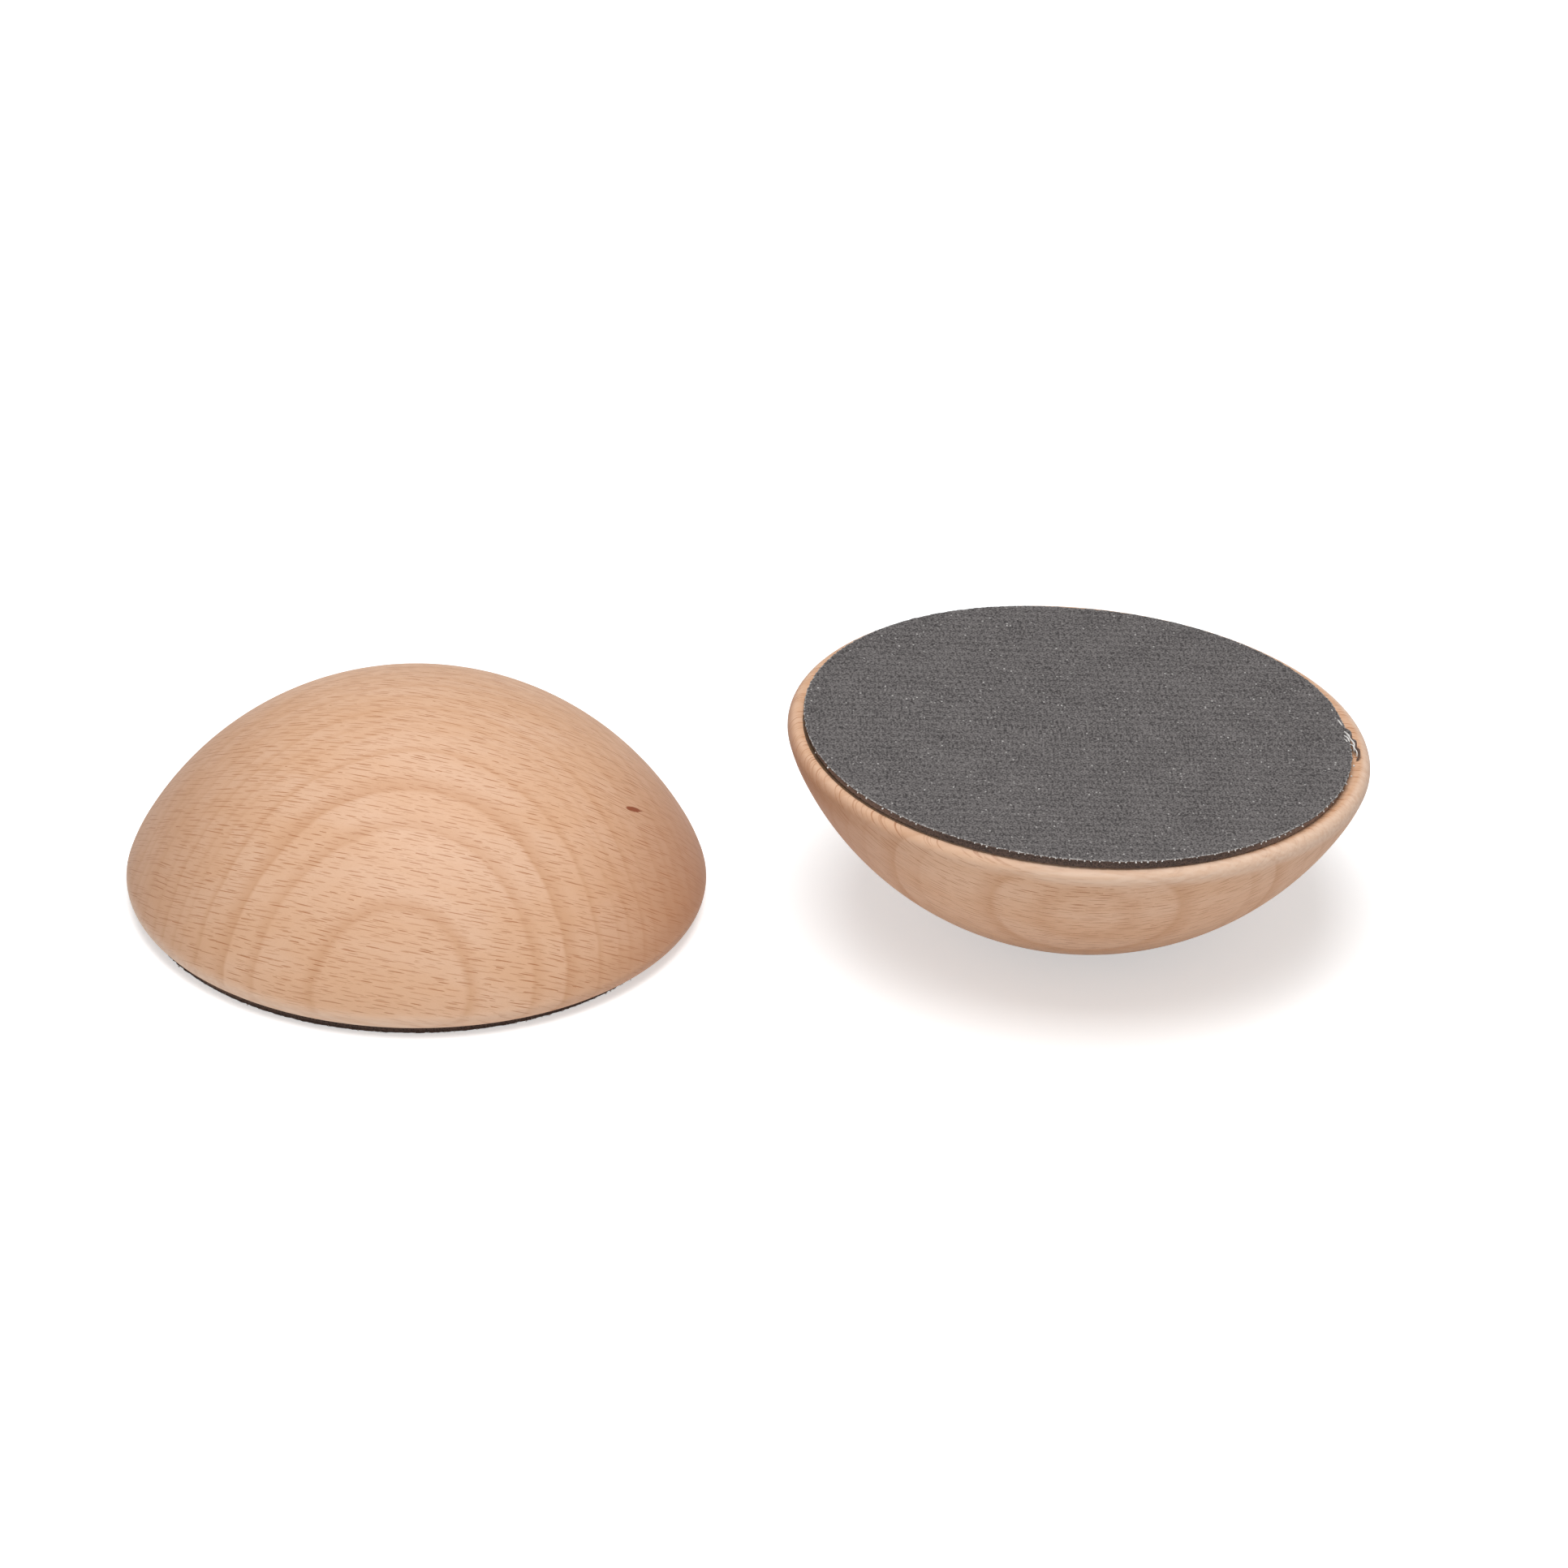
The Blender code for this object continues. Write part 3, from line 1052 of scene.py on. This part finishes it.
def strand(name, material, runs):
    """Loose bits of the inverted pad's fabric, one for each run of points."""
    curve = bpy.data.curves.new(name, "CURVE")
    curve.dimensions = "3D"
    curve.bevel_depth = 1.0 * MM
    curve.bevel_resolution = 3
    curve.use_fill_caps = True
    curve.resolution_u = 6
    for run in runs:
        spline = curve.splines.new("BEZIER")
        spline.bezier_points.add(len(run) - 1)
        for point, (x, y, z, radius) in zip(spline.bezier_points, run):
            point.co = Vector((x, y, z)) * MM
            point.radius = radius
            point.handle_left_type = point.handle_right_type = "AUTO"
    drawn = in_scene(name + "_path", curve)
    depsgraph = bpy.context.evaluated_depsgraph_get()
    mesh = bpy.data.meshes.new_from_object(drawn.evaluated_get(depsgraph))
    bpy.data.objects.remove(drawn)
    mesh.materials.clear()
    mesh.materials.append(material)
    return settled(in_scene(name, mesh), mesh, PADS["inverted"])


class STEPPINGSTONES_OT_turn_domes(bpy.types.Operator):
    """Turn the two beech domes"""

    bl_idname = "stepping_stones.turn_domes"
    bl_label = "Turn Beech Domes"

    def execute(self, context):
        sizes = context.scene.stone_sizes
        shape = dome_shape()
        for stone in STONES:
            _, grain = in_log(stone)
            dome = grown(f"{stone}_turned_dome", shape, {
                "Diameter": sizes.diameter, "Height": sizes.height,
                "Edge Round": sizes.edge_round, "Side Lean": sizes.side_lean,
                "Shoulder Radius": sizes.shoulder, "Foot": DOME_FOOT,
                "Grain": tuple(grain), "Steps": DOME_STEPS,
                "Material": beech_material(stone),
            }, POSES[stone])
            fitted(dome, "beech", f"{stone}_beech_dome")
        return {"FINISHED"}


class STEPPINGSTONES_OT_cut_foam(bpy.types.Operator):
    """Cut the foam layer of each pad"""

    bl_idname = "stepping_stones.cut_foam"
    bl_label = "Cut Foam Layers"

    def execute(self, context):
        shape = foam_shape()
        for stone in STONES:
            foam = grown(f"{stone}_foam_disc", shape, {
                "Radius": FOAM_WIDTH / 2, "Thickness": FOAM_HEIGHT, "Foot": FOAM_FOOT,
                "Cell": context.scene.stone_sizes.cell, "Steps": FOAM_STEPS,
                "Material": foam_material(stone),
            }, PADS[stone] @ FOAM_LAID[stone])
            fitted(foam, "foam", f"{stone}_foam_layer")
        return {"FINISHED"}


class STEPPINGSTONES_OT_lay_facings(bpy.types.Operator):
    """Lay the grip fabric on each pad"""

    bl_idname = "stepping_stones.lay_facings"
    bl_label = "Lay Grip Facings"

    def execute(self, context):
        shape = facing_shape()
        for stone in STONES:
            facing = grown(f"{stone}_grip_fabric", shape, {
                "Radius": FACING_WIDTH / 2, "Thickness": FACING_HEIGHT,
                "Relief": context.scene.stone_sizes.relief, "Turn": FACING_TURN[stone],
                "Bite": BITE[stone], "Back Corners": BACK_CORNERS[stone],
                "Steps": FACING_STEPS, "Material": facing_material(stone),
            }, PADS[stone] @ FACING_LAID[stone])
            fitted(facing, "grip_fabric", f"{stone}_grip_facing")
        return {"FINISHED"}


class STEPPINGSTONES_OT_set_threads(bpy.types.Operator):
    """Set the cut thread ends round each facing, and the frayed place"""

    bl_idname = "stepping_stones.set_threads"
    bl_label = "Set Thread Ends"

    def execute(self, context):
        shape, thread = thread_shape(), thread_material()
        for seed, stone in enumerate(STONES):
            ends = grown(f"{stone}_thread_ends", shape, {
                "Radius": FACING_WIDTH / 2 - THREAD_INSET,
                "Height": FACING_HEIGHT * THREAD_LEVEL,
                "Pitch": COLUMN_MM[0] * MM * THREAD_SPACING,
                "Turn": FACING_TURN[stone] - math.atan2(ROW_MM[0], ROW_MM[1]),
                "Thickness": context.scene.stone_sizes.thread, "Seed": 5 + seed * 10,
                "Material": thread,
            }, PADS[stone] @ FACING_LAID[stone])
            fitted(ends, "grip_fabric")
        fabric = bpy.data.materials["grip_fabric_inverted"]
        fitted(strand("inverted_loose_sliver", fabric, SLIVER_MM), "grip_fabric")
        fitted(strand("inverted_loose_threads", thread, LOOSE_THREADS_MM), "grip_fabric")
        return {"FINISHED"}


class STEPPINGSTONES_OT_coat_adhesive(bpy.types.Operator):
    """Give the adhesive films their finish"""

    bl_idname = "stepping_stones.coat_adhesive"
    bl_label = "Coat Adhesive Films"

    def execute(self, context):
        material = adhesive_material()
        for stone in STONES:
            film = frame["nodes"][f"{stone}_adhesive_film"]
            film.data.materials.clear()
            film.data.materials.append(material)
        return {"FINISHED"}


def floor_material():
    """Pale floor that shows white to the camera where no shadow falls."""
    material, tree, _ = new_material("pale_floor")
    mottle = tree.noise(tree.on_object(), 0.01)
    colour = tree.mix(mottle, (0.81, 0.81, 0.81), (0.83, 0.83, 0.83))
    lit = tree.add("ShaderNodeBsdfDiffuse", {}, {"Color": colour})
    glow = tree.add("ShaderNodeEmission", {}, {"Strength": FLOOR_GLOW})
    seen = tree.add("ShaderNodeAddShader", {}, (lit, glow))
    rays = tree.add("ShaderNodeLightPath", output="Is Camera Ray")
    rays = rays.at_least(rays.also("Is Glossy Ray") * 0.4)
    show(tree, tree.add("ShaderNodeMixShader", {}, (rays, lit, seen)))
    return material


def softbox(name, place, width, height, power):
    """A large soft lamp, turned to the stones."""
    lamp = bpy.data.lights.new(name, "AREA")
    lamp.shape = "RECTANGLE"
    lamp.size, lamp.size_y = width, height
    lamp.energy = power
    holder = in_scene(name, lamp)
    holder.location = place
    aim = Vector(LAMP_TARGET) - Vector(place)
    holder.rotation_euler = aim.to_track_quat("-Z", "Y").to_euler()


class STEPPINGSTONES_OT_set_stage(bpy.types.Operator):
    """Set the camera, the floor and the lamps"""

    bl_idname = "stepping_stones.set_stage"
    bl_label = "Set Stage"

    def execute(self, context):
        scene, studio = context.scene, context.scene.stone_studio
        camera = bpy.data.cameras.new("photo_camera")
        camera.lens, camera.sensor_width = studio.lens, SENSOR_MM
        camera.clip_end = 100
        holder = in_scene("photo_camera", camera)
        holder.location = CAMERA_PLACE
        holder.rotation_euler = (
            Matrix.Rotation(math.pi / 2 - studio.pitch, 4, "X")
            @ Matrix.Rotation(studio.roll, 4, "Z")
        ).to_euler()
        scene.camera = holder

        mesh = bpy.data.meshes.new("floor")
        mesh.from_pydata(
            [(x * FLOOR_REACH, y * FLOOR_REACH, 0)
             for x, y in ((-1, -1), (1, -1), (1, 1), (-1, 1))],
            [], [(0, 1, 2, 3)],
        )
        mesh.materials.append(floor_material())
        floor = in_scene("floor", mesh)

        softbox("top_softbox", *TOP_LAMP, studio.key)
        softbox("front_softbox", *FRONT_LAMP, studio.front)

        world = bpy.data.worlds.new("studio")
        scene.world = world
        world.use_nodes = True
        world.node_tree.nodes.clear()
        tree = Tree(world.node_tree)
        light, white = (
            tree.add("ShaderNodeBackground", {}, {"Color": colour, "Strength": strength})
            for colour, strength in ((FILL_COLOUR, studio.fill), ((1, 1, 1, 1), 1.0))
        )
        rays = tree.add("ShaderNodeLightPath", output="Is Camera Ray")
        tree.add(
            "ShaderNodeOutputWorld", {},
            {"Surface": tree.add("ShaderNodeMixShader", {}, (rays, light, white))},
        )
        scene.view_settings.view_transform = "Standard"
        return {"FINISHED"}


class STEPPINGSTONES_PT_panel(bpy.types.Panel):
    """Sizes, colours and making of the stepping stones"""

    bl_idname = "STEPPINGSTONES_PT_panel"
    bl_label = "Stepping Stones"
    bl_space_type = "VIEW_3D"
    bl_region_type = "UI"
    bl_category = "Stepping Stones"

    def draw(self, context):
        for attribute, kind in SETTINGS.items():
            column = self.layout.column()
            for name in kind.__annotations__:
                column.prop(getattr(context.scene, attribute), name)
        column = self.layout.column()
        for operator in OPERATORS:
            column.operator(operator.bl_idname)


OPERATORS = (
    STEPPINGSTONES_OT_set_stage,
    STEPPINGSTONES_OT_turn_domes,
    STEPPINGSTONES_OT_cut_foam,
    STEPPINGSTONES_OT_lay_facings,
    STEPPINGSTONES_OT_set_threads,
    STEPPINGSTONES_OT_coat_adhesive,
)
SETTINGS = {
    "stone_sizes": StoneSizes,
    "stone_colours": StoneColours,
    "stone_studio": StudioSettings,
}


def register():
    """Makes the settings, the operators and the panel known to Blender."""
    for kind in (*SETTINGS.values(), *OPERATORS, STEPPINGSTONES_PT_panel):
        bpy.utils.register_class(kind)
    for name, kind in SETTINGS.items():
        setattr(bpy.types.Scene, name, bpy.props.PointerProperty(type=kind))


def unregister():
    """Takes away all that register() made known."""
    for name in SETTINGS:
        delattr(bpy.types.Scene, name)
    for kind in (STEPPINGSTONES_PT_panel, *reversed(OPERATORS), *SETTINGS.values()):
        bpy.utils.unregister_class(kind)


def main():
    """Makes the whole scene."""
    register()
    bpy.ops.stepping_stones.set_stage()
    bpy.ops.stepping_stones.turn_domes()
    bpy.ops.stepping_stones.cut_foam()
    bpy.ops.stepping_stones.lay_facings()
    bpy.ops.stepping_stones.set_threads()
    bpy.ops.stepping_stones.coat_adhesive()


if __name__ == "__main__":
    main()
